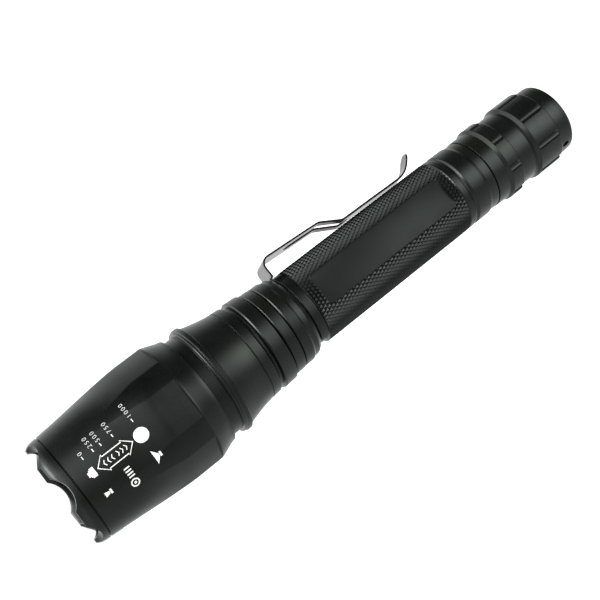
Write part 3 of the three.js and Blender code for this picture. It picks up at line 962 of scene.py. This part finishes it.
def bright_metal(name, base, roughness=0.28):
    """Turned bare metal with fine tool rings."""
    material = new_material(name, base, roughness, Metallic=1.0)
    tinted(material, (300, 4), tuple(c * 0.86 for c in base), base)
    roughened(material, (500, 3), roughness - 0.06, roughness + 0.1)
    bumped(material, ((2400, 3, ONLY_HEIGHT), 0.02, 0.3))
    return material


def moulded(name, base, roughness, grain=4000, depth=0.02):
    """Moulded plastic, rubber or varnish: a fine grain and a slight change of shade."""
    material = new_material(name, base, roughness)
    tinted(material, (260, 4), tuple(c * 0.82 for c in base), base)
    roughened(material, (700, 3), roughness - 0.05, roughness + 0.08)
    bumped(material, ((grain, 2), depth, 0.35))
    return material


def white_ink_painted_glow():
    """The head's printed marks: white ink with a faint painted glow from its emission, so they read a
    little brighter than their surroundings.
    """
    # The emission is a painted glow: the ink gives off light of its own, though it is no lamp.
    material = new_material("white_ink_painted_glow", (0.93, 0.93, 0.92), 0.55, Emission_Color=WHITE,
                            Emission_Strength=0.12)
    tinted(material, (1500, 4), (0.86, 0.86, 0.85), (0.95, 0.95, 0.94))
    bumped(material, ((5000, 2), 0.01, 0.2))
    return material


def lens_clear():
    """Clear acrylic with faint polishing haze."""
    material = new_material("lens_clear", (0.97, 0.985, 0.99), 0.03, Transmission_Weight=1.0,
                            IOR=1.49)
    roughened(material, (120, 3), 0.015, 0.05)
    return material


def cell_sleeve():
    """Shrink wrap on a cell, slightly mottled."""
    material = new_material("cell_sleeve", (0.06, 0.18, 0.4), 0.3)
    tinted(material, (120, 3), (0.05, 0.15, 0.34), (0.07, 0.2, 0.44))
    bumped(material, ((900, 3, (1, 1, 0.3)), 0.03, 0.3))
    return material


def paint(piece, material):
    piece.data.materials.clear()
    piece.data.materials.append(material)
    return piece


# ---------- the pieces
def place(piece, body, slot, material, *nodes):
    """Gives a fine piece its finish and body, and hides the CAD nodes it stands for."""
    paint(piece, material)
    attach(piece, body)
    if nodes:
        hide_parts(*nodes)
    return piece


def build_pieces():
    """Every fine piece, with the CAD node that it replaces; all but the switch boot and the clip blade
    get the body they ride on.
    """
    black = anodised()
    rubber = moulded("rubber", (0.016, 0.016, 0.016), 0.62, 3000, 0.03)
    place(tail_cap(), "tail", "anodised_black", black, "tail_cap")
    place(tube_core(), "tube", "anodised_black", black, "battery_tube")
    place(knurled_sleeve(), "tube", "anodised_black", knurled_black())
    place(tube_flats(), "tube", "anodised_black", anodised("anodised_flat", 0.36, 1.5))
    thread = helix_skin("tube_thread", 10.5, THREAD_RADIUS, TUBE_TAIL + 0.2, 31.9, 1.25, 10.2)
    place(thread, "tube", "anodised_black", bright_metal("cut_thread", (0.5, 0.5, 0.5), 0.35))
    place(neck(), "tube", "anodised_black", black, "heatsink_neck")
    place(zoom_head(), "head", "anodised_black", black, "zoom_head")
    place(bezel_ring(), "head", "anodised_black", black, "bezel_ring")
    place(lens_dome(), "head", "lens_glass", lens_clear(), "lens")
    # The print's ink carries a faint painted glow.
    place(head_print(), "head", "plastic_white", white_ink_painted_glow())
    place(seal_ring("rear_seal_ring", 10.93, 33.1, 0.7), "tube", "rubber_black", rubber,
          "tube_rear_seal")
    place(seal_ring("lens_seal_ring", 16.15, 189.85, 1.3), "head", "rubber_black", rubber,
          "lens_gasket")
    place(clip_band(), "clip_ring", "steel_spring", black, "clip_band")

    boot = paint(switch_boot(), rubber)
    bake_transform(boot)
    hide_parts("switch_boot")

    clip = pocket_clip(clip_steel(), clip_edge())
    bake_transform(clip)
    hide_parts("clip_blade")
    paint_frame_nodes(rubber)


def paint_frame_nodes(rubber):
    """Finishes for the inner pieces, which keep their CAD shape."""
    finishes = {
        "aluminium_bare": bright_metal("aluminium_turned", (0.72, 0.73, 0.74)),
        "brass_plain": bright_metal("brass_turned", (0.66, 0.5, 0.22)),
        "steel_spring": bright_metal("spring_wire", (0.5, 0.5, 0.5), 0.22),
        "rubber_black": rubber,
        "plastic_black": moulded("plastic_black", (0.03, 0.03, 0.03), 0.45),
        "plastic_white": moulded("plastic_white", (0.82, 0.81, 0.77), 0.45),
        "board_green": moulded("board_green", (0.03, 0.17, 0.07), 0.3),
        "cell_wrap": cell_sleeve(),
        "emitter_yellow": moulded("phosphor", (0.85, 0.68, 0.1), 0.35),
    }
    slots = {entry["node"]: entry["material_slot"] for entry in frame["record"]["subparts"]}
    for node, piece in frame["nodes"].items():
        if not piece.hide_render:
            paint(piece, finishes[slots[node]])


# ---------- camera, floor and light
AXIS_TILT = math.radians(17.4)      # how far the tail leans away from the picture plane
PICTURE_TURN = math.radians(37.9)   # the axis's slope across the picture
CAMERA_DISTANCE = 363.0
CAMERA_AIM = 110.0                  # height on the axis that the picture is centred on
CAMERA_ASIDE = 2.5                  # how far the camera stands aside from the axis
FOCAL_LENGTH = 69.0
SENSOR_WIDTH = 36
FLOOR_HALF = 3.0                    # in metres, as are the next ones
FLOOR_DROP = 0.05 * MM
SOFT_BOX = {"up": 0.62, "outward": 0.35, "aside": 0.4, "size": (0.7, 0.25), "power": 4}


def view_frame():
    """Unit vectors: towards the camera side, round the axis from it, and up the axis."""
    azimuth = math.radians(VIEW_AZIMUTH)
    outward = Vector((math.cos(azimuth), math.sin(azimuth), 0))
    up = Vector((0, 0, 1))
    return outward, up.cross(outward), up


def make_camera():
    """The torch slopes across the picture, with its head near the camera's lower left."""
    outward, aside, up = view_frame()
    look = -math.cos(AXIS_TILT) * outward - math.sin(AXIS_TILT) * up
    along = -math.cos(AXIS_TILT) * up + math.sin(AXIS_TILT) * outward
    right = math.cos(PICTURE_TURN) * along - math.sin(PICTURE_TURN) * aside
    top_way = math.sin(PICTURE_TURN) * along + math.cos(PICTURE_TURN) * aside
    position = CAMERA_AIM * up - CAMERA_DISTANCE * look + CAMERA_ASIDE * aside
    data = bpy.data.cameras.new("camera")
    data.lens = FOCAL_LENGTH
    data.sensor_width = SENSOR_WIDTH
    data.clip_start = 0.01
    data.clip_end = 50
    camera = linked("camera", data)
    turn = Matrix((right, top_way, -look)).transposed().to_4x4()
    camera.matrix_world = Matrix.Translation(position * MM) @ turn
    bpy.context.scene.camera = camera


def make_floor():
    """A plain white floor that throws no reflection on the torch."""
    half = FLOOR_HALF
    mesh = bpy.data.meshes.new("floor")
    mesh.from_pydata([(-half, -half, 0), (half, -half, 0), (half, half, 0), (-half, half, 0)], [],
                     [(0, 1, 2, 3)])
    floor = linked("floor", mesh)
    floor.location.z = -FLOOR_DROP
    paint(floor, new_material("pale_floor", (0.9, 0.9, 0.9), 0.8, Specular_IOR_Level=0.1,
                              Emission_Color=WHITE, Emission_Strength=1.0))
    floor.visible_glossy = False


# light by direction, tuned to black metal: (degrees round from the camera side, strength),
# and (degrees above the horizon, strength)
WALL_LIGHT = [(-180, 1.1), (-150, 0.65), (-110, 0.38), (-72, 0.32), (-50, 0.24), (-36, 0.13),
              (-20, 0.08), (0, 0.08), (20, 0.05), (32, 0.01), (50, 0.004), (76, 0.006),
              (90, 0.05), (104, 0.18), (120, 0.55), (140, 0.85), (180, 1.1)]
WALL_LEVEL = [(-90, 0.1), (-70, 0.2), (-48, 0.9), (-40, 1.0)]
FRONT_LIGHT = [(-150, 0.3), (-80, 0.22), (-50, 0.14), (-38, 0.25), (-30, 0.6), (-14, 1.85),
               (2, 2.6), (14, 2.0), (24, 1.0), (33, 0.3), (42, 0.08), (80, 0.08), (92, 0.0)]
FRONT_LEVEL = [(-90, 0.3), (-60, 0.4), (-50, 0.38), (-44, 0.36), (-38, 0.5), (-34.5, 0.8),
               (-32, 1.5), (-30, 1.4), (-28, 0.72), (-25, 0.5), (-21, 0.58), (-18, 0.5),
               (-15.5, 0.3), (-12, 0.07), (-4, 0.01), (30, 0.01), (60, 0.1)]
FACE_LIGHT = [(-30, 0.0), (-10, 0.25), (2, 0.6), (14, 0.95), (34, 1.05), (50, 0.35), (62, 0.0)]
FACE_LEVEL = [(-6, 0.0), (-1, 0.3), (3, 1.0), (20, 1.2), (40, 0.3)]
RISE_LIGHT = [(-150, 0.05), (-60, 0.3), (-12, 0.2), (20, 0.3), (38, 1.1), (60, 1.4), (110, 1.2),
              (150, 0.3)]
RISE_LEVEL = [(9, 0.0), (17, 1.0), (34, 1.0), (46, 0.3), (60, 0.0)]
LIGHT_CAP = 4.0                 # the strongest light a ramp can hold


def make_world():
    """A soft studio: brightness by direction round the object, white where the camera looks."""
    world = bpy.data.worlds.new("studio")
    bpy.context.scene.world = world
    world.use_nodes = True
    world.node_tree.nodes.clear()

    def calculate(operation, *values):
        made = add(world, "ShaderNodeMath")
        made.operation = operation
        for socket, value in zip(made.inputs, values):
            if isinstance(value, (int, float)):
                socket.default_value = value
            else:
                link(world, value, socket)
        return made.outputs[0]

    def ramp_of(value, start, end, stops):
        """Brightness read off stops at values between start and end."""
        share = add(world, "ShaderNodeMapRange", From_Min=start, From_Max=end)
        link(world, value, share.inputs["Value"])
        ramp = add(world, "ShaderNodeValToRGB")
        elements = ramp.color_ramp.elements
        while len(elements) < len(stops):
            elements.new(0.5)
        for element, (stop, light) in zip(elements, stops):
            element.position = (stop - start) / (end - start)
            element.color = (*[light / LIGHT_CAP] * 3, 1)
        link(world, share.outputs["Result"], ramp.inputs["Fac"])
        return calculate("MULTIPLY", ramp.outputs["Color"], LIGHT_CAP)

    coordinates = add(world, "ShaderNodeTexCoord")
    to_view = add(world, "ShaderNodeVectorRotate", Angle=-math.radians(VIEW_AZIMUTH))
    to_view.rotation_type = "Z_AXIS"
    link(world, coordinates.outputs["Generated"], to_view.inputs["Vector"])
    parts = add(world, "ShaderNodeSeparateXYZ")
    link(world, to_view.outputs["Vector"], parts.inputs["Vector"])
    azimuth = calculate("DEGREES", calculate("ARCTAN2", parts.outputs["Y"], parts.outputs["X"]))
    height = calculate("DEGREES", calculate("ARCSINE", parts.outputs["Z"]))
    light = 0.0
    for round_about, level in ((WALL_LIGHT, WALL_LEVEL), (FRONT_LIGHT, FRONT_LEVEL),
                               (FACE_LIGHT, FACE_LEVEL), (RISE_LIGHT, RISE_LEVEL)):
        part = calculate("MULTIPLY", ramp_of(azimuth, -180, 180, round_about),
                         ramp_of(height, -90, 90, level))
        light = calculate("ADD", light, part)
    strong = add(world, "ShaderNodeBackground")
    link(world, light, strong.inputs["Color"])
    plain = add(world, "ShaderNodeBackground", Color=WHITE, Strength=1.05)
    choice = add(world, "ShaderNodeMixShader")
    path = add(world, "ShaderNodeLightPath")
    output = add(world, "ShaderNodeOutputWorld")
    link(world, path.outputs["Is Camera Ray"], choice.inputs["Fac"])
    link(world, strong.outputs["Background"], choice.inputs[1])
    link(world, plain.outputs["Background"], choice.inputs[2])
    link(world, choice.outputs["Shader"], output.inputs["Surface"])


def make_soft_box():
    """One soft box above and in front, for a gentle sheen on the upper side."""
    outward, aside, up = view_frame()
    middle = Vector((0, 0, 0.1))
    data = bpy.data.lights.new("overhead", "AREA")
    data.shape = "RECTANGLE"
    data.size, data.size_y = SOFT_BOX["size"]
    data.energy = SOFT_BOX["power"]
    light = linked("overhead", data)
    offset = SOFT_BOX["up"] * up + SOFT_BOX["outward"] * outward + SOFT_BOX["aside"] * aside
    light.location = middle + offset
    light.rotation_mode = "QUATERNION"
    light.rotation_quaternion = (-offset).to_track_quat("-Z", "Y")


build_pieces()
make_camera()
make_floor()
make_world()
make_soft_box()
bpy.context.scene.view_settings.view_transform = "Standard"
